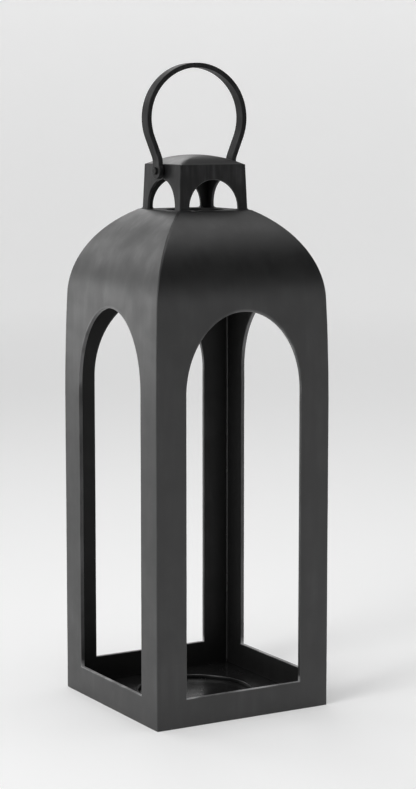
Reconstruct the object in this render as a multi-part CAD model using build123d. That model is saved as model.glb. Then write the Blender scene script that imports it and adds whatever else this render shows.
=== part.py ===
from build123d import *
import math
import os

# Candle lantern: a square metal body with a tall round-headed opening in each side and a domed top, a small
# arched cupola on the dome, and a flat-bar bail that swings on two rivets.
# Millimetres, +Z up. The origin is on the table, at the centre of the base. The bail's pivots lie along X.

# Body
BODY_WIDTH = 180.0
WALL = 3.5
CORNER_RADIUS = 1.2
LEAN_START = 281.0          # below this height the walls are upright
LEAN_RADIUS = 2375.0        # above it they lean in on this very large radius
LEAN_ANGLE = 2.37           # until they have turned by this many degrees
DOME_RADIUS = 95.4
NECK_HEIGHT = 459.0         # the dome is cut off level here

# Openings in the body
OPENING_WIDTH = 119.8
SILL_HEIGHT = 26.0
SPRING_HEIGHT = 299.0
ARCH_RISE = 72.6

# Floor
BASE_THICKNESS = 2.4
RING_RADIUS = 56.0
RING_WALL = 2.5
RING_HEIGHT = 3.4

# Collar inside the neck of the dome
COLLAR_THICKNESS = 2.5
VENT_RADIUS = 27.0

# Cupola
CUPOLA_HEIGHT = 41.4
CUPOLA_WIDTH_BOTTOM = 71.0
CUPOLA_WIDTH_TOP = 68.0
CUPOLA_WALL = 2.5
CUPOLA_CORNER_RADIUS = 1.0
FOOT_FLARE = 2.2            # the walls' feet spread outwards onto the dome on this radius
VENT_ARCH_RADIUS = 25.7
VENT_ARCH_SPRING = 2.4      # above the dome
VENT_ARCH_FOOT = 1.6        # and their jambs spread into the arches on this one
ROOF_RISE = 9.2
ROOF_THICKNESS = 3.0
ROOF_HIP_RADIUS = 6.0

# Bail
BAR_WIDTH = 12.2
BAR_THICKNESS = 4.4
BAR_EDGE_RADIUS = 0.8
LOOP_HEIGHT = 542.2         # where the loop is widest
LOOP_TOP = 590.0            # to the middle of the bar's thickness, as the radius below is
LOOP_SIDE_RADIUS = 45.9
LOOP_SIDE_OFFSET = 4.0      # from the lantern's axis to the centre of each side's arc
LEG_ANGLE = 22.0            # the legs run in towards the pivots at this angle
LEG_BEND_RADIUS = 16.0
TAB_RADIUS = 7.6
TAB_DISTANCE = 38.6         # from the lantern's axis to the middle of a tab's thickness
PIVOT_HEIGHT = 494.6

# Pivots
RIVET_RADIUS = 2.5
RIVET_CLEARANCE = 0.05
RIVET_HEAD_RADIUS = 3.4
RIVET_HEAD_HEIGHT = 1.4
SIDE_PLAY = 0.3             # between the tab and what is on either side of it
SPACER_RADIUS = 5.0
WASHER_RADIUS = 5.5
WASHER_DISTANCE = 29.8      # from the lantern's axis to the washer's inner face

HALF_BODY = BODY_WIDTH / 2
CUPOLA_TOP = NECK_HEIGHT + CUPOLA_HEIGHT
TAB_INNER = TAB_DISTANCE - BAR_THICKNESS / 2
TAB_OUTER = TAB_DISTANCE + BAR_THICKNESS / 2
SIDES = {"front": 0, "right": 90, "back": 180, "left": 270}
PIVOTS = {"right": 0, "left": 180}


def wedge(height):
    """The quarter of space in front of the axis, between the two diagonal planes."""
    reach = BODY_WIDTH
    return extrude(make_face(Polyline((0, 0), (reach, -reach), (-reach, -reach), close=True)), height)


def square_vault(section):
    """The solid that shows the given XZ section from the front and from the side alike."""
    along_y = extrude(section, BODY_WIDTH, both=True)
    return along_y & Rot(0, 0, 90) * along_y


def corner_edges(solid):
    """The edges that run up a square solid's four corners."""
    return [
        edge
        for edge in solid.edges()
        if abs(abs(edge.center().X) - abs(edge.center().Y)) < 0.01 and edge.bounding_box().size.Z > 1
    ]


def closed_section(right_side):
    """The XZ face between a chain of curves on the right, from bottom to top, and its mirror image."""
    bottom, top = right_side[0] @ 0, right_side[-1] @ 1
    axis = [Line(top, (0, top.Y)), Line((0, top.Y), (0, bottom.Y)), Line((0, bottom.Y), bottom)]
    half = make_face(right_side + axis)
    return Plane.XZ * (half + mirror(half, Plane.YZ))


def arched_opening(width, sill, spring, rise, foot_radius=0.0):
    """A round-headed opening, as the solid that it removes from a front wall."""
    jambs = Pos(0, (sill + spring) / 2) * Rectangle(width, spring - sill)
    head = Pos(0, spring) * Ellipse(width / 2, rise)
    upper_half = Pos(0, spring + rise) * Rectangle(width, 2 * rise)
    outline = jambs + (head & upper_half)
    if foot_radius:
        outline = fillet(outline.vertices().group_by(Axis.Y)[0], foot_radius)
    return extrude(Plane.XZ * outline, BODY_WIDTH, both=True)


def body_section(inset):
    """The body's XZ section, moved inwards by inset: upright walls, a slight lean, then the dome."""
    lean_centre = Vector(HALF_BODY - LEAN_RADIUS, LEAN_START)
    dome_centre = lean_centre + Vector(LEAN_RADIUS - DOME_RADIUS, 0).rotate(Axis.Z, LEAN_ANGLE)
    dome_radius = DOME_RADIUS - inset
    neck_angle = math.degrees(math.asin((NECK_HEIGHT - dome_centre.Y) / dome_radius))
    upright = Line((HALF_BODY - inset, 0), (HALF_BODY - inset, LEAN_START))
    lean = CenterArc(lean_centre, LEAN_RADIUS - inset, 0, LEAN_ANGLE)
    dome = CenterArc(dome_centre, dome_radius, LEAN_ANGLE, neck_angle - LEAN_ANGLE)
    return closed_section([upright, lean, dome])


def body_walls():
    """The four mitred wall panels, each with its quarter of the dome."""
    outside = square_vault(body_section(0))
    shell = fillet(corner_edges(outside), CORNER_RADIUS) - square_vault(body_section(WALL))
    opening = arched_opening(OPENING_WIDTH, SILL_HEIGHT, SPRING_HEIGHT, ARCH_RISE)
    front = (shell & wedge(NECK_HEIGHT)) - opening
    return {f"{side}_wall": Rot(0, 0, turn) * front for side, turn in SIDES.items()}


def base_plate():
    inside = BODY_WIDTH - 2 * WALL
    return Pos(0, 0, BASE_THICKNESS / 2) * Box(inside, inside, BASE_THICKNESS)


def candle_ring():
    band = Circle(RING_RADIUS) - Circle(RING_RADIUS - RING_WALL)
    return Pos(0, 0, BASE_THICKNESS) * extrude(band, RING_HEIGHT)


def dome_collar():
    """The plate that ties the four walls together inside the neck, with the round vent in it."""
    slab = Pos(0, 0, NECK_HEIGHT - COLLAR_THICKNESS / 2) * Box(BODY_WIDTH, BODY_WIDTH, COLLAR_THICKNESS)
    vent = Pos(0, 0, NECK_HEIGHT) * Cylinder(VENT_RADIUS, 4 * COLLAR_THICKNESS)
    return (square_vault(body_section(WALL)) & slab) - vent


def cupola_block(inset, foot_flare=0.0):
    """The cupola's tapered square block, moved inwards by inset, with its foot spread outwards if asked."""
    foot = Vector(CUPOLA_WIDTH_BOTTOM / 2 - inset, NECK_HEIGHT)
    top = Vector(CUPOLA_WIDTH_TOP / 2 - inset, CUPOLA_TOP)
    if not foot_flare:
        return square_vault(closed_section([Line(foot, top)]))
    flare_top = foot + (top - foot) * (foot_flare / CUPOLA_HEIGHT)
    flare = CenterArc(flare_top + Vector(foot_flare, 0), foot_flare, 270, -90)
    return square_vault(closed_section([flare, Line(flare_top, top)]))


def rivet_hole():
    """A hole right across the lantern on the pivot line."""
    return Pos(0, 0, PIVOT_HEIGHT) * Rot(0, 90, 0) * Cylinder(RIVET_RADIUS, BODY_WIDTH)


def cupola_walls():
    """The cupola's four mitred walls. The left and right ones are drilled for the rivets."""
    outside = fillet(corner_edges(cupola_block(0, FOOT_FLARE)), CUPOLA_CORNER_RADIUS)
    shell = outside - cupola_block(CUPOLA_WALL)
    spring = NECK_HEIGHT + VENT_ARCH_SPRING
    arch = arched_opening(2 * VENT_ARCH_RADIUS, NECK_HEIGHT, spring, VENT_ARCH_RADIUS, VENT_ARCH_FOOT)
    front = (shell & wedge(CUPOLA_TOP)) - arch
    return {f"cupola_{side}_wall": Rot(0, 0, turn) * front - rivet_hole() for side, turn in SIDES.items()}


def roof_vault(inset):
    """The roof's crowned cap above the cupola's walls, moved inwards by inset."""
    half_width = CUPOLA_WIDTH_TOP / 2
    radius = (half_width**2 + ROOF_RISE**2) / (2 * ROOF_RISE)
    drop = radius - ROOF_RISE
    edge_angle = math.degrees(math.asin(drop / (radius - inset)))
    crown = CenterArc((0, CUPOLA_TOP - drop), radius - inset, edge_angle, 90 - edge_angle)
    return square_vault(closed_section([crown]))


def cupola_roof():
    """A thin cap whose four sides curve up from the wall tops, with softened hips."""
    outside = fillet(corner_edges(roof_vault(0)), ROOF_HIP_RADIUS)
    return outside - roof_vault(ROOF_THICKNESS)


def bail_path():
    """The right half of the bar's middle line in XZ, from the pivot up to the top of the loop."""
    lean = math.radians(LEG_ANGLE)
    side_centre = Vector(LOOP_SIDE_OFFSET, LOOP_HEIGHT)
    leg_end = side_centre + Vector(LOOP_SIDE_RADIUS, 0).rotate(Axis.Z, -LEG_ANGLE)
    bend_centre_x = TAB_DISTANCE + LEG_BEND_RADIUS
    bend_top_x = bend_centre_x - LEG_BEND_RADIUS * math.cos(lean)
    bend_top_z = leg_end.Y - (leg_end.X - bend_top_x) / math.tan(lean)
    bend_z = bend_top_z - LEG_BEND_RADIUS * math.sin(lean)
    extra = LOOP_TOP - LOOP_HEIGHT - LOOP_SIDE_RADIUS
    crown_drop = (LOOP_SIDE_OFFSET**2 - extra**2) / (2 * extra)
    crown_radius = LOOP_SIDE_RADIUS + extra + crown_drop
    join_angle = math.degrees(math.atan2(crown_drop, LOOP_SIDE_OFFSET))
    tab = Line((TAB_DISTANCE, PIVOT_HEIGHT), (TAB_DISTANCE, bend_z))
    bend = CenterArc((bend_centre_x, bend_z), LEG_BEND_RADIUS, 180, -LEG_ANGLE)
    leg = Line(bend @ 1, leg_end)
    side = CenterArc(side_centre, LOOP_SIDE_RADIUS, -LEG_ANGLE, LEG_ANGLE + join_angle)
    crown = CenterArc((0, LOOP_HEIGHT - crown_drop), crown_radius, join_angle, 90 - join_angle)
    return [Plane.XZ * curve for curve in (tab, bend, leg, side, crown)]


def bail_handle():
    """One flat bar bent into a loop, with a round drilled tab at each end."""
    half_path = Wire(bail_path())
    section = Plane(origin=half_path @ 0, x_dir=(0, 1, 0), z_dir=(0, 0, 1)) * RectangleRounded(
        BAR_WIDTH, BAR_THICKNESS, BAR_EDGE_RADIUS
    )
    tab = Cylinder(TAB_RADIUS, BAR_THICKNESS)
    tab = fillet(tab.edges().filter_by(GeomType.CIRCLE), BAR_EDGE_RADIUS)
    half = sweep(section, path=half_path) + Pos(TAB_DISTANCE, 0, PIVOT_HEIGHT) * Rot(0, 90, 0) * tab
    bore = Pos(0, 0, PIVOT_HEIGHT) * Rot(0, 90, 0) * Cylinder(RIVET_RADIUS + RIVET_CLEARANCE, BODY_WIDTH)
    return (half + mirror(half, Plane.YZ)) - bore


def along_pivot(sketch, start, end):
    """A sketch drawn round the right-hand pivot, pulled out along X between two distances from the axis."""
    return extrude(Plane(origin=(start, 0, PIVOT_HEIGHT), z_dir=(1, 0, 0)) * sketch, end - start)


def pivot_set():
    """The right-hand rivet, the spacer outside the cupola's wall and the washer inside it."""
    shank = Circle(RIVET_RADIUS)
    head_start = TAB_OUTER + SIDE_PLAY
    head = along_pivot(Circle(RIVET_HEAD_RADIUS), head_start, head_start + RIVET_HEAD_HEIGHT)
    head = fillet(head.edges().sort_by(Axis.X)[-1], 0.7 * RIVET_HEAD_HEIGHT)
    tail = along_pivot(Circle(RIVET_HEAD_RADIUS), WASHER_DISTANCE - RIVET_HEAD_HEIGHT, WASHER_DISTANCE)
    tail = fillet(tail.edges().sort_by(Axis.X)[0], 0.7 * RIVET_HEAD_HEIGHT)
    rivet = head + along_pivot(shank, WASHER_DISTANCE, head_start) + tail
    inner_face = CUPOLA_WIDTH_TOP / 2 - CUPOLA_WALL
    spacer = along_pivot(Circle(SPACER_RADIUS) - shank, inner_face, TAB_INNER - SIDE_PLAY) - cupola_block(0)
    washer = along_pivot(Circle(WASHER_RADIUS) - shank, WASHER_DISTANCE, inner_face + CUPOLA_WALL)
    washer = washer & cupola_block(CUPOLA_WALL)
    return {"pivot_rivet": rivet, "pivot_spacer": spacer, "backing_washer": washer}


def pivots():
    """The same three pieces on the right and on the left."""
    return {
        f"{side}_{name}": Rot(0, 0, turn) * piece
        for side, turn in PIVOTS.items()
        for name, piece in pivot_set().items()
    }


parts = {
    **body_walls(),
    "base_plate": base_plate(),
    "candle_ring": candle_ring(),
    "dome_collar": dome_collar(),
    **cupola_walls(),
    "cupola_roof": cupola_roof(),
    "bail_handle": bail_handle(),
    **pivots(),
}

os.makedirs("parts", exist_ok=True)
for name, shape in parts.items():
    export_step(shape, f"parts/{name}.step")
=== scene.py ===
"""Candle lantern: coated metal walls, cupola and roof with softened edges, round the CAD frame."""

import math

import bpy
from mathutils import Matrix, Vector, noise


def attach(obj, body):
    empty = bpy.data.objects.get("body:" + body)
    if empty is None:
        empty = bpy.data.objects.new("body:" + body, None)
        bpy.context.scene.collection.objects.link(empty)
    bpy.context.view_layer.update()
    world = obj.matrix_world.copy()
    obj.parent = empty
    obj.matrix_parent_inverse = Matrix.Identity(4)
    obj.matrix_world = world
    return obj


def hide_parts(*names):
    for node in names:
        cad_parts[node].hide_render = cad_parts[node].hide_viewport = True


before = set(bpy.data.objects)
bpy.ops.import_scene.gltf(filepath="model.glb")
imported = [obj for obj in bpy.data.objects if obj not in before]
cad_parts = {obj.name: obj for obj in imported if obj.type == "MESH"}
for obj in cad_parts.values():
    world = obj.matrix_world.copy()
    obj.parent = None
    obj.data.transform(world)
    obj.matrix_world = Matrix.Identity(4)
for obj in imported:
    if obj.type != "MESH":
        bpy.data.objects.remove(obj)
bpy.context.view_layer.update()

MM = 0.001

# The shape that part.py gives the lantern, in millimetres
BODY_HALF = 90.0
BODY_WALL = 3.5
BODY_CORNER = 1.2
LEAN_START = 281.0
LEAN_RADIUS = 2375.0
LEAN_ANGLE = math.radians(2.37)
DOME_RADIUS = 95.4
NECK = 459.0
OPENING_HALF = 59.9
SILL = 26.0
SPRING = 299.0
ARCH_RISE = 72.6
CUPOLA_HEIGHT = 41.4
CUPOLA_TOP = NECK + CUPOLA_HEIGHT
CUPOLA_HALF_BOTTOM = 35.5
CUPOLA_HALF_TOP = 34.0
CUPOLA_WALL = 2.5
CUPOLA_CORNER = 1.0
FOOT_FLARE = 2.2
VENT_RADIUS = 25.7
VENT_SPRING = 2.4
VENT_FOOT = 1.6
ROOF_RISE = 9.2
ROOF_RADIUS = (CUPOLA_HALF_TOP**2 + ROOF_RISE**2) / (2 * ROOF_RISE)
ROOF_THICKNESS = 3.0
FLOOR = 2.4
RING_RADIUS = 56.0
RING_WALL = 2.5
RING_HEIGHT = 3.4

# Rounding of the edges, in millimetres, and how far apart in height the roof's slopes start to blend
OPENING_EDGE = 0.4
VENT_EDGE = 0.3
RING_EDGE = 0.7
ROOF_HIP = 1.8

# Waviness of the surfaces, in millimetres. It starts from nothing at the ground and at the roof's rim.
CAST_WAVE = 0.14
CAST_WAVE_LENGTH = 55.0
CAST_RIPPLE = 0.05
CAST_RIPPLE_LENGTH = 14.0
GROUND_FADE = 4.0
RIM_FADE = 2.0

# How far out each ring of a panel's points lies, from its opening at 0 to its mitred edge at 1:
# evenly over the face, then closer together round the corner
PANEL_SHARES = [0.0] + [0.03 + 0.9 * i / 22 for i in range(23)] + [0.96, 0.98, 0.987, 0.994, 1.0]
# Near the neck, where the dome is almost level, its inside keeps the outside's heights and the seams end
NECK_MARGIN = 8.0
# A sloping wall is thicker measured level than square through it, by a factor of up to 1 / LEVEL_LIMIT
LEVEL_LIMIT = 0.35

# The weld bead up each inside corner, in millimetres. SEAM_RIPPLE is a share of its radius.
SEAM_RADIUS = 0.9
SEAM_STANDOFF = 0.35 * SEAM_RADIUS
SEAM_RIPPLE = 0.12
SEAM_RIPPLE_LENGTH = 2.5

# How much of the coat is worn to bare metal on an opening's edges: wear, and a painted highlight line on
# the sills
SILL_WEAR_AND_HIGHLIGHT = 1.0
ARCH_WEAR_AND_HIGHLIGHT = 0.3
JAMB_WEAR_AND_HIGHLIGHT = 0.08

# The coat. Scales are noise cells to the metre, and each range is the part of a noise that is used.
STREAK_STRETCH = 0.09
STREAK_RANGE = (0.42, 0.72)
MOTTLE_SCALE = 38.0
MOTTLE_RANGE = (0.35, 0.68)
MOTTLE_SHARE = 0.25
MOTTLE_DULL_RANGE = (0.3, 0.7)
MOTTLE_DULLING = 0.05
COARSE_DETAIL = 5.0
GRAIN_SCALE = 900.0
GRAIN_DETAIL = 2.0
RUB_AND_HIGHLIGHT_RANGE = (0.38, 0.60)
RUB_AND_HIGHLIGHT_LEAST = 0.15
# The bare-metal grey on the opening edges: partly wear, partly a painted highlight
BARED_METAL_AND_HIGHLIGHT = (0.34, 0.34, 0.345)
STREAK_POLISH = 0.05
STREAK_RELIEF = 0.7
GRAIN_RELIEF = 0.3
BUMP_STRENGTH = 0.6

# A colour Mix node's sockets
MIX_FACTOR = 0
MIX_FIRST = 6
MIX_SECOND = 7
MIX_RESULT = 2

# The studio, in metres and degrees.
# The floor's glow goes from its low to its high value over GLOW_HEIGHTS.
FLOOR_FLAT = 4.0
FLOOR_RISE = 1.6
PAINT_DARK = (0.80, 0.80, 0.80)
PAINT_LIGHT = (0.84, 0.84, 0.84)
PAINT_SCALE = 1.2
GLOW_HEIGHTS = (0.0, 0.9)
GLOW_LOW = 0.14
GLOW_HIGH = 0.38
LAMP_SPREAD = 60.0

# The air round the studio is dark for directions lower than this span and white above it,
# where 0 is level and 1 straight up
AIR_SPAN = (0.72, 0.96)
AIR_DARK = (0.04, 0.04, 0.04)
AIR_WHITE = (1.0, 1.0, 1.0)
AIR_STRENGTH = 1.8

SIDES = {"front": 0, "right": 90, "back": 180, "left": 270}


# Outlines


def body_half_width(z):
    """The body's half-width at height z: upright, then leaning in, then domed."""
    if z <= LEAN_START:
        return BODY_HALF
    lean_top = LEAN_START + LEAN_RADIUS * math.sin(LEAN_ANGLE)
    if z <= lean_top:
        return BODY_HALF - LEAN_RADIUS + math.sqrt(LEAN_RADIUS**2 - (z - LEAN_START) ** 2)
    reach = LEAN_RADIUS - DOME_RADIUS
    centre_x = BODY_HALF - LEAN_RADIUS + reach * math.cos(LEAN_ANGLE)
    centre_z = LEAN_START + reach * math.sin(LEAN_ANGLE)
    return centre_x + math.sqrt(DOME_RADIUS**2 - (z - centre_z) ** 2)


def quarter_dip(height, radius):
    """How far a concave foot of this radius stands out at a height above the ground."""
    if height >= radius:
        return 0.0
    height = max(height, 0.0)
    return radius - math.sqrt(radius**2 - (radius - height) ** 2)


def cupola_half_width(z):
    """The cupola's half-width at height z, with the flare at its foot."""
    share = (z - NECK) / CUPOLA_HEIGHT
    straight = CUPOLA_HALF_BOTTOM + (CUPOLA_HALF_TOP - CUPOLA_HALF_BOTTOM) * share
    return straight + quarter_dip(z - NECK, FOOT_FLARE)


def between(start, end, count):
    """count values from start up to, and not including, end."""
    return [start + (end - start) * i / count for i in range(count)]


def mirrored(right_half):
    """A right half that runs from the bottom to the top, and then its mirror image back down."""
    return right_half + [(-x, z) for x, z in reversed(right_half)][1:]


def mirrored_ring(right_half):
    """The same for a ring, which stops one point short of where it began."""
    return mirrored(right_half)[:-1]


def body_loops():
    """The opening's outline and the panel's outline, point for point."""
    sill_steps, jamb_steps, side_steps, top_steps = 14, 40, 44, 12
    inner = [(x, SILL) for x in between(0, OPENING_HALF, sill_steps)]
    outer = [(x, 0.0) for x in between(0, BODY_HALF, sill_steps)]
    for z in between(SILL, SPRING, jamb_steps):
        inner.append((OPENING_HALF, z))
        outer_z = (z - SILL) / (SPRING - SILL) * SPRING
        outer.append((body_half_width(outer_z), outer_z))
    total = side_steps + top_steps
    for i in range(total + 1):
        turn = math.pi / 2 * i / total
        inner.append((OPENING_HALF * math.cos(turn), SPRING + ARCH_RISE * math.sin(turn)))
        if i < side_steps:
            z = SPRING + (NECK - SPRING) * i / side_steps
            outer.append((body_half_width(z), z))
        else:
            outer.append((body_half_width(NECK) * (total - i) / top_steps, NECK))
    return mirrored_ring(inner), mirrored_ring(outer)


def cupola_loops():
    """The arch's outline and the panel's outline, from one foot over to the other."""
    foot_steps, side_steps, top_steps = 6, 30, 14
    inner = []
    outer = []
    for i in range(foot_steps):
        height = VENT_SPRING * i / foot_steps
        inner.append((VENT_RADIUS - quarter_dip(height, VENT_FOOT), NECK + height))
        outer.append((cupola_half_width(NECK + height), NECK + height))
    total = side_steps + top_steps
    low = NECK + VENT_SPRING
    for i in range(total + 1):
        turn = math.pi / 2 * i / total
        inner.append((VENT_RADIUS * math.cos(turn), low + VENT_RADIUS * math.sin(turn)))
        if i < side_steps:
            z = low + (CUPOLA_TOP - low) * i / side_steps
            outer.append((cupola_half_width(z), z))
        else:
            outer.append((CUPOLA_HALF_TOP * (total - i) / top_steps, CUPOLA_TOP))
    return mirrored(inner), mirrored(outer)


# Meshes


def make_object(name, vertices, faces, *materials):
    """A smooth-shaded object from points in millimetres."""
    mesh = bpy.data.meshes.new(name)
    mesh.from_pydata([tuple(c * MM for c in v) for v in vertices], [], faces)
    mesh.validate()
    mesh.polygons.foreach_set("use_smooth", [True] * len(mesh.polygons))
    for material in materials:
        mesh.materials.append(material)
    obj = bpy.data.objects.new(name, mesh)
    bpy.context.scene.collection.objects.link(obj)
    return obj


def cast_offset(point):
    """How far hand finishing has moved the surface in or out at a point."""
    wave = noise.noise(point / CAST_WAVE_LENGTH)
    ripple = noise.noise(point / CAST_RIPPLE_LENGTH + Vector((31.0, 7.0, 3.0)))
    return CAST_WAVE * wave + CAST_RIPPLE * ripple


def surface_point(x, z, half_width, corner):
    """The point and the outward normal on the front panel's outside, its corner rounded."""
    half = half_width(z)
    step = 0.05
    slope = (half_width(z + step) - half_width(z - step)) / (2 * step)
    turn = 0.0
    across, depth = x, half
    past = abs(x) - (half - corner)
    if past > 0:
        turn = math.pi / 4 * min(past / corner, 1.0)
        across = math.copysign(half - corner + corner * math.sin(turn), x)
        depth = half - corner + corner * math.cos(turn)
    normal = Vector((math.copysign(math.sin(turn), x), -math.cos(turn), -slope)).normalized()
    return Vector((across, -depth, z)), normal


def wear_and_highlight_share(z):
    """How far the coat is worn to bare metal on an opening's edge, as wear and as a painted highlight:
    most on the sills, least on the jambs.
    """
    if z <= SILL:
        return SILL_WEAR_AND_HIGHLIGHT
    return JAMB_WEAR_AND_HIGHLIGHT if z < SPRING else ARCH_WEAR_AND_HIGHLIGHT


def panel_points(turn, loops, half_width, wall, corner):
    """The points of a panel's outside and of its inside, ring by ring out from its opening."""
    spin = Matrix.Rotation(math.radians(turn), 3, "Z")
    outside = []
    inside = []
    for share in PANEL_SHARES:
        for (opening_x, opening_z), (edge_x, edge_z) in zip(*loops):
            x = opening_x + (edge_x - opening_x) * share
            z = opening_z + (edge_z - opening_z) * share
            point, normal = surface_point(x, z, half_width, corner)
            shift = spin @ normal * cast_offset(spin @ point) * min(1.0, z / GROUND_FADE)
            outside.append(spin @ point + shift)
            # The inside of a sloping wall lies lower than its outside
            inside_z = z
            if share < 1 and z < NECK - NECK_MARGIN:
                inside_z = z - wall * normal.z * share
            level_wall = wall / max(LEVEL_LIMIT, math.hypot(normal.x, normal.y))
            inside_half = half_width(inside_z) - level_wall
            shrink = 1 + (inside_half / half_width(z) - 1) * share
            inside.append(spin @ Vector((x * shrink, -inside_half, inside_z)) + shift)
    return outside, inside


def panel_faces(count, back, closed):
    """The faces over a panel's points, with 0 for each one in the outer coat and 1 for the inner."""
    rim = back - count
    last = count if closed else count - 1
    faces = []
    coats = []
    # The outside and the inside
    for ring in range(0, rim, count):
        for i in range(last):
            j = (i + 1) % count
            a, b = ring + i, ring + j
            c, d = a + count, b + count
            faces.append((a, c, d, b))
            faces.append((a + back, b + back, d + back, c + back))
            coats += [0, 1]
    # The thickness of the wall, round the opening and along the mitred edges
    for i in range(last):
        j = (i + 1) % count
        faces.append((i, j, j + back, i + back))
        faces.append((rim + j, rim + i, rim + i + back, rim + j + back))
        coats += [0, 1]
    # The soles of the two feet
    if not closed:
        for ring in range(0, rim, count):
            for end in (0, count - 1):
                a, b = ring + end, ring + count + end
                quad = (a, a + back, b + back, b)
                faces.append(quad if end == 0 else quad[::-1])
                coats.append(1)
    return faces, coats


def mark_wear_and_highlight(obj, opening, back):
    """Records on both edges of the opening how far the coat is worn to bare metal, as wear and as a
    painted highlight.
    """
    wear = obj.data.attributes.new("edge_wear_and_highlight", "FLOAT", "POINT")
    for start in (0, back):
        for i, (_, z) in enumerate(opening):
            wear.data[start + i].value = wear_and_highlight_share(z)


def soften_opening(obj, count, back, edge):
    """Rounds the opening's two edges."""
    mesh = obj.data
    weights = mesh.attributes.new("bevel_weight_edge", "FLOAT", "EDGE")
    for e in mesh.edges:
        a, b = sorted(e.vertices)
        around_front = b < count
        around_back = back <= a and b < back + count
        if around_front or around_back:
            weights.data[e.index].value = 1.0
    bevel = obj.modifiers.new("softened edges", "BEVEL")
    bevel.limit_method = "WEIGHT"
    bevel.width = edge * MM
    bevel.segments = 3
    bevel.harden_normals = True


def panel(name, turn, loops, half_width, wall, corner, closed, edge, outer_coat, inner_coat):
    """One wall panel, from its opening out to its mitred edges. closed means that it has a sill."""
    opening = loops[0]
    outside, inside = panel_points(turn, loops, half_width, wall, corner)
    count, back = len(opening), len(outside)
    faces, coats = panel_faces(count, back, closed)
    obj = make_object(name, outside + inside, faces, outer_coat, inner_coat)
    obj.data.polygons.foreach_set("material_index", coats)
    mark_wear_and_highlight(obj, opening, back)
    soften_opening(obj, count, back, edge)
    return obj


def ring_of_revolution(name, profile, steps, material):
    """A closed profile of (radius, height) points turned round the lantern's axis."""
    vertices = []
    faces = []
    size = len(profile)
    for i in range(steps):
        turn = 2 * math.pi * i / steps
        vertices += [(r * math.cos(turn), r * math.sin(turn), z) for r, z in profile]
        for k in range(size):
            m = (k + 1) % size
            j = (i + 1) % steps
            faces.append((i * size + k, j * size + k, j * size + m, i * size + m))
    return make_object(name, vertices, faces, material)


def candle_ring_piece(material):
    """The low ring on the floor, its top edges rounded by hand finishing."""
    inner, outer, top = RING_RADIUS - RING_WALL, RING_RADIUS, FLOOR + RING_HEIGHT
    arc_steps = 5
    profile = [(inner, FLOOR), (outer, FLOOR)]
    for centre, start in ((outer - RING_EDGE, 0), (inner + RING_EDGE, 90)):
        for i in range(arc_steps + 1):
            turn = math.radians(start + 90 // arc_steps * i)
            across = centre + RING_EDGE * math.cos(turn)
            profile.append((across, top - RING_EDGE + RING_EDGE * math.sin(turn)))
    return ring_of_revolution("ring_on_floor", profile, steps=160, material=material)


def corner_seam(name, turn, material):
    """The thin bead of weld up one inside corner, following the walls into the dome."""
    spin = Matrix.Rotation(math.radians(turn), 3, "Z")
    steps, around = 110, 8
    vertices = []
    faces = []
    for step in range(steps + 1):
        z = FLOOR + (NECK - NECK_MARGIN - FLOOR) * step / steps
        half = body_half_width(z) - BODY_WALL - SEAM_STANDOFF
        ripple = 1 + SEAM_RIPPLE * noise.noise(Vector((turn, 0.0, z / SEAM_RIPPLE_LENGTH)))
        for k in range(around):
            angle = 2 * math.pi * k / around
            across = SEAM_RADIUS * ripple * math.cos(angle)
            along = SEAM_RADIUS * ripple * math.sin(angle)
            vertices.append(spin @ Vector((half + across, half + along, z)))
        if step:
            low, high = (step - 1) * around, step * around
            for k in range(around):
                m = (k + 1) % around
                faces.append((low + k, low + m, high + m, high + k))
    faces.append(tuple(reversed(range(around))))
    faces.append(tuple(range(len(vertices) - around, len(vertices))))
    return make_object(name, vertices, faces, material)


def roof_height(t, inset):
    """The crown's height at distance t from the middle, on its top or, with an inset, below it."""
    return CUPOLA_TOP - (ROOF_RADIUS - ROOF_RISE) + math.sqrt((ROOF_RADIUS - inset) ** 2 - t**2)


def soft_minimum(a, b, width):
    """The smaller of two heights, blended where they are close."""
    near = max(width - abs(a - b), 0.0) / width
    return min(a, b) - near**2 * width / 4


def roof_points(steps):
    """A square grid of points over the cap's top, and then a smaller one over its underside."""
    under_half = math.sqrt((ROOF_RADIUS - ROOF_THICKNESS) ** 2 - (ROOF_RADIUS - ROOF_RISE) ** 2)
    points = []
    for half, inset in ((CUPOLA_HALF_TOP, 0.0), (under_half, ROOF_THICKNESS)):
        for row in range(steps + 1):
            for col in range(steps + 1):
                x = half * (2 * col / steps - 1)
                y = half * (2 * row / steps - 1)
                z = soft_minimum(roof_height(x, inset), roof_height(y, inset), ROOF_HIP)
                point = Vector((x, y, max(z, CUPOLA_TOP)))
                lift = cast_offset(point) * min(1.0, (point.z - CUPOLA_TOP) / RIM_FADE)
                points.append(point + Vector((0, 0, lift)))
    return points


def roof_piece(material):
    """The pillowed cap: a crowned sheet above, a smaller one below, joined round the rim."""
    steps = 60
    side = steps + 1
    below = side * side
    faces = []
    for row in range(steps):
        for col in range(steps):
            a = row * side + col
            quad = (a, a + 1, a + side + 1, a + side)
            faces.append(quad)
            faces.append(tuple(v + below for v in reversed(quad)))
    rim = [(i, i + 1) for i in range(steps)]
    rim += [(i * side + steps, (i + 1) * side + steps) for i in range(steps)]
    rim += [(steps * side + i + 1, steps * side + i) for i in range(steps)]
    rim += [((i + 1) * side, i * side) for i in range(steps)]
    faces += [(b, a, a + below, b + below) for a, b in rim]
    return make_object("cupola_cap", roof_points(steps), faces, material)


# Materials


def noise_field(tree, scale, detail, coordinates):
    """A smooth random field over the surface."""
    texture = tree.nodes.new("ShaderNodeTexNoise")
    texture.inputs["Scale"].default_value = scale
    texture.inputs["Detail"].default_value = detail
    tree.links.new(coordinates, texture.inputs["Vector"])
    return texture.outputs["Fac"]


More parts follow.
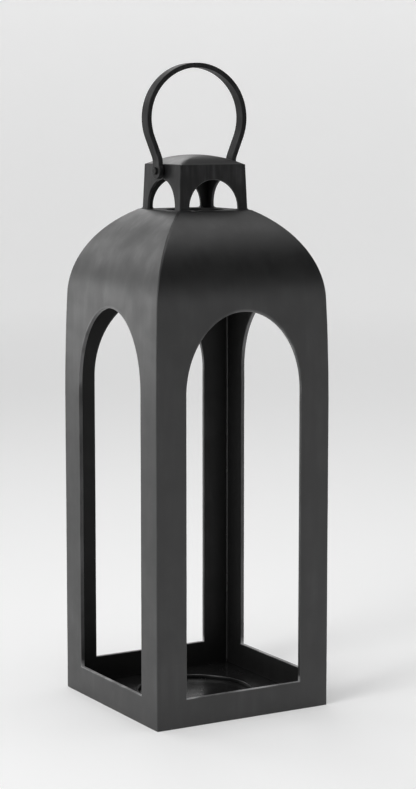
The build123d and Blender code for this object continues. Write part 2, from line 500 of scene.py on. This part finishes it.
def combined(tree, operation, first, second):
    """Two values, or a value and a number, put together by a Math node."""
    node = tree.nodes.new("ShaderNodeMath")
    node.operation = operation
    for socket, value in zip(node.inputs, (first, second)):
        if isinstance(value, float):
            socket.default_value = value
        else:
            tree.links.new(value, socket)
    return node.outputs[0]


def spread(tree, value, span, to_low, to_high):
    """A value whose span is stretched to run from to_low to to_high, and stops there."""
    node = tree.nodes.new("ShaderNodeMapRange")
    node.inputs["From Min"].default_value, node.inputs["From Max"].default_value = span
    node.inputs["To Min"].default_value = to_low
    node.inputs["To Max"].default_value = to_high
    tree.links.new(value, node.inputs["Value"])
    return node.outputs["Result"]


def height_of(tree, coordinates):
    """The upward part of one of the Texture Coordinate node's outputs."""
    source = tree.nodes.new("ShaderNodeTexCoord")
    split = tree.nodes.new("ShaderNodeSeparateXYZ")
    tree.links.new(source.outputs[coordinates], split.inputs["Vector"])
    return split.outputs["Z"]


def two_tones(tree, value, dark, light, span=(0.0, 1.0)):
    """A colour that goes from dark to light as a value goes through its span."""
    ramp = tree.nodes.new("ShaderNodeValToRGB")
    for element, position, colour in zip(ramp.color_ramp.elements, span, (dark, light)):
        element.position = position
        element.color = (*colour, 1.0)
    tree.links.new(value, ramp.inputs["Fac"])
    return ramp.outputs["Color"]


def coat(name, dark, light, rough, streak, streak_scale, specular, streak_turn=0.0, bump=0.00012):
    """Black coating over hand-finished metal: brushed, mottled, grained, and worn to bare metal at its
    edges, which partly paints a highlight there.
    """
    material = bpy.data.materials.new(name)
    material.use_nodes = True
    tree = material.node_tree
    shader = tree.nodes["Principled BSDF"]
    shader.inputs["Specular IOR Level"].default_value = specular
    shader.inputs["Metallic"].default_value = 0.0

    surface = tree.nodes.new("ShaderNodeTexCoord").outputs["Object"]
    stretch = tree.nodes.new("ShaderNodeMapping")
    stretch.inputs["Scale"].default_value = (1.0, 1.0, STREAK_STRETCH)
    stretch.inputs["Rotation"].default_value = (0.0, streak_turn, 0.0)
    tree.links.new(surface, stretch.inputs["Vector"])
    brushed = noise_field(tree, streak_scale, COARSE_DETAIL, stretch.outputs["Vector"])
    mottled = noise_field(tree, MOTTLE_SCALE, COARSE_DETAIL, surface)
    grain = noise_field(tree, GRAIN_SCALE, GRAIN_DETAIL, surface)

    worn = spread(tree, mottled, MOTTLE_RANGE, 0.0, 1.0)
    marks = combined(tree, "MULTIPLY", spread(tree, brushed, STREAK_RANGE, 0.0, 1.0), worn)
    streaked = combined(tree, "MULTIPLY", marks, streak)
    tone = combined(tree, "ADD", streaked, combined(tree, "MULTIPLY", mottled, MOTTLE_SHARE))

    # Bare metal mixed in along the opening edges, strongest on the sills: partly wear, partly a painted
    # highlight line
    edge = tree.nodes.new("ShaderNodeAttribute")
    edge.attribute_name = "edge_wear_and_highlight"
    patchy = spread(tree, mottled, RUB_AND_HIGHLIGHT_RANGE, RUB_AND_HIGHLIGHT_LEAST, 1.0)
    bared_and_highlit = tree.nodes.new("ShaderNodeMix")
    bared_and_highlit.data_type = "RGBA"
    bared_and_highlit.inputs[MIX_SECOND].default_value = (*BARED_METAL_AND_HIGHLIGHT, 1.0)
    worn_and_highlit_edge = combined(tree, "MULTIPLY", edge.outputs["Fac"], patchy)
    tree.links.new(worn_and_highlit_edge, bared_and_highlit.inputs[MIX_FACTOR])
    tree.links.new(two_tones(tree, tone, dark, light), bared_and_highlit.inputs[MIX_FIRST])
    tree.links.new(bared_and_highlit.outputs[MIX_RESULT], shader.inputs["Base Color"])

    dulled = spread(tree, mottled, MOTTLE_DULL_RANGE, rough + MOTTLE_DULLING, rough - MOTTLE_DULLING)
    polish = combined(tree, "MULTIPLY", marks, STREAK_POLISH)
    tree.links.new(combined(tree, "SUBTRACT", dulled, polish), shader.inputs["Roughness"])

    coarse = combined(tree, "MULTIPLY", brushed, STREAK_RELIEF)
    fine = combined(tree, "MULTIPLY", grain, GRAIN_RELIEF)
    raised = tree.nodes.new("ShaderNodeBump")
    raised.inputs["Strength"].default_value = BUMP_STRENGTH
    raised.inputs["Distance"].default_value = bump
    tree.links.new(combined(tree, "ADD", coarse, fine), raised.inputs["Height"])
    tree.links.new(raised.outputs["Normal"], shader.inputs["Normal"])
    return material


def pale_paint(name):
    """The studio's matt floor: faintly uneven, with a faint glow that grows with height."""
    material = bpy.data.materials.new(name)
    material.use_nodes = True
    tree = material.node_tree
    shader = tree.nodes["Principled BSDF"]
    shader.inputs["Roughness"].default_value = 0.9
    shader.inputs["Specular IOR Level"].default_value = 0.1
    shader.inputs["Emission Color"].default_value = (1.0, 1.0, 1.0, 1.0)
    glow = spread(tree, height_of(tree, "Object"), GLOW_HEIGHTS, GLOW_LOW, GLOW_HIGH)
    tree.links.new(glow, shader.inputs["Emission Strength"])
    texture = tree.nodes.new("ShaderNodeTexNoise")
    texture.inputs["Scale"].default_value = PAINT_SCALE
    uneven = two_tones(tree, texture.outputs["Fac"], PAINT_DARK, PAINT_LIGHT)
    tree.links.new(uneven, shader.inputs["Base Color"])
    return material


# The lantern


def dress(node, material):
    """Gives a CAD node its finish."""
    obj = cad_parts[node]
    obj.data.materials.clear()
    obj.data.materials.append(material)


def place(obj, node):
    """Puts a detailed piece in place of its CAD node."""
    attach(obj, "lantern")
    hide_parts(node)


wall_coat = coat(
    "wall_coat",
    dark=(0.003, 0.003, 0.0031),
    light=(0.016, 0.016, 0.0163),
    rough=0.37,
    streak=0.7,
    streak_scale=130.0,
    specular=0.7,
)
cupola_coat = coat(
    "cupola_coat",
    dark=(0.005, 0.005, 0.0052),
    light=(0.034, 0.034, 0.035),
    rough=0.46,
    streak=1.0,
    streak_scale=260.0,
    specular=0.2,
)
inner_coat = coat(
    "inner_coat",
    dark=(0.004, 0.004, 0.004),
    light=(0.016, 0.016, 0.016),
    rough=0.52,
    streak=0.3,
    streak_scale=120.0,
    specular=0.3,
)
# The weld bead's coat is several times lighter and shinier than the walls': its colour paints a
# highlight along each inside corner
seam_highlight_coat = coat(
    "seam_highlight_coat",
    dark=(0.02, 0.02, 0.02),
    light=(0.06, 0.06, 0.06),
    rough=0.28,
    streak=0.3,
    streak_scale=120.0,
    specular=0.6,
)
floor_coat = coat(
    "floor_coat",
    dark=(0.008, 0.008, 0.008),
    light=(0.022, 0.022, 0.022),
    rough=0.24,
    streak=0.3,
    streak_scale=90.0,
    specular=0.5,
    bump=0.00002,
)
bail_coat = coat(
    "bail_coat",
    dark=(0.006, 0.006, 0.0062),
    light=(0.030, 0.030, 0.031),
    rough=0.44,
    streak=0.9,
    streak_scale=420.0,
    specular=0.13,
    streak_turn=0.5,
    bump=0.0001,
)
rivet_coat = coat(
    "rivet_coat",
    dark=(0.004, 0.004, 0.004),
    light=(0.014, 0.014, 0.014),
    rough=0.5,
    streak=0.5,
    streak_scale=500.0,
    specular=0.15,
)

for side, turn in SIDES.items():
    body_panel = panel(
        f"{side}_panel",
        turn,
        body_loops(),
        body_half_width,
        wall=BODY_WALL,
        corner=BODY_CORNER,
        closed=True,
        edge=OPENING_EDGE,
        outer_coat=wall_coat,
        inner_coat=inner_coat,
    )
    place(body_panel, f"{side}_wall")
    vent_panel = panel(
        f"cupola_{side}_panel",
        turn,
        cupola_loops(),
        cupola_half_width,
        wall=CUPOLA_WALL,
        corner=CUPOLA_CORNER,
        closed=False,
        edge=VENT_EDGE,
        outer_coat=cupola_coat,
        inner_coat=inner_coat,
    )
    place(vent_panel, f"cupola_{side}_wall")

# The beads carry the lighter seam coat, a painted highlight up each inside corner
for side, turn in SIDES.items():
    seam = corner_seam(f"{side}_corner_seam", turn, seam_highlight_coat)
    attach(seam, "lantern")

place(roof_piece(wall_coat), "cupola_roof")
place(candle_ring_piece(floor_coat), "candle_ring")
dress("base_plate", floor_coat)
dress("dome_collar", inner_coat)
dress("bail_handle", bail_coat)
for side in ("left", "right"):
    for part in ("pivot_rivet", "pivot_spacer", "backing_washer"):
        dress(f"{side}_{part}", rivet_coat)


# Studio


def studio_floor():
    """A pale round floor that curves up into its own backdrop on every side."""
    steps, flat_steps, rise_steps = 72, 6, 12
    flat_spacing = 0.6
    profile = [(flat_spacing * i, 0.0) for i in range(1, flat_steps + 1)]
    for i in range(rise_steps + 1):
        climb = math.radians(90 / rise_steps * i)
        profile.append((FLOOR_FLAT + FLOOR_RISE * math.sin(climb), FLOOR_RISE * (1 - math.cos(climb))))
    vertices = [(0, 0, 0)]
    faces = []
    size = len(profile)
    for i in range(steps):
        turn = 2 * math.pi * i / steps
        vertices += [(r * math.cos(turn) / MM, r * math.sin(turn) / MM, z / MM) for r, z in profile]
        a, b = 1 + i * size, 1 + (i + 1) % steps * size
        faces.append((0, a, b))
        faces += [(a + k, a + k + 1, b + k + 1, b + k) for k in range(size - 1)]
    floor = make_object("studio_floor", vertices, faces, pale_paint("pale_paint"))


def soft_light(name, place_m, aim_m, width, height, power):
    """A large soft box with a grid, which lights the lantern and isn't seen itself."""
    lamp = bpy.data.lights.new(name, "AREA")
    lamp.shape = "RECTANGLE"
    lamp.size = width
    lamp.size_y = height
    lamp.spread = math.radians(LAMP_SPREAD)
    lamp.energy = power
    obj = bpy.data.objects.new(name, lamp)
    obj.location = place_m
    obj.rotation_euler = (Vector(aim_m) - Vector(place_m)).to_track_quat("-Z", "Y").to_euler()
    obj.visible_camera = False
    bpy.context.scene.collection.objects.link(obj)


def studio_air():
    """The room that the lantern reflects: dark all round, and white overhead."""
    world = bpy.data.worlds.new("studio_air")
    world.use_nodes = True
    tree = world.node_tree
    background = tree.nodes["Background"]
    shade = two_tones(tree, height_of(tree, "Generated"), AIR_DARK, AIR_WHITE, AIR_SPAN)
    tree.links.new(shade, background.inputs["Color"])
    background.inputs["Strength"].default_value = AIR_STRENGTH
    bpy.context.scene.world = world


def camera(aim_m, azimuth, elevation, distance, focal):
    """The camera, placed on a sphere round the point that it looks at."""
    a, e = math.radians(azimuth), math.radians(elevation)
    back = Vector((math.sin(a) * math.cos(e), -math.cos(a) * math.cos(e), math.sin(e)))
    data = bpy.data.cameras.new("camera")
    data.lens = focal
    obj = bpy.data.objects.new("camera", data)
    obj.location = Vector(aim_m) + back * distance
    obj.rotation_euler = (-back).to_track_quat("-Z", "Y").to_euler()
    bpy.context.scene.collection.objects.link(obj)
    bpy.context.scene.camera = obj


studio_floor()
soft_light("key_light", (-2.6, -0.6, 1.6), (0, 0, 0.25), width=1.6, height=1.6, power=6.4)
soft_light("window_light", (-1.7, 2.9, 0.3), (0, 0, 0.22), width=2.2, height=0.8, power=1.0)
soft_light("back_light", (0.8, 2.75, 2.0), (0, 0, 0.46), width=1.8, height=1.4, power=1.7)
soft_light("dome_light", (-1.0, 2.9, 1.7), (0, 0, 0.42), width=2.0, height=1.3, power=1.6)
camera((0.0106, -0.0061, 0.2872), azimuth=-30.135, elevation=7.537, distance=2.025, focal=99.39)
studio_air()
bpy.context.scene.view_settings.view_transform = "Standard"
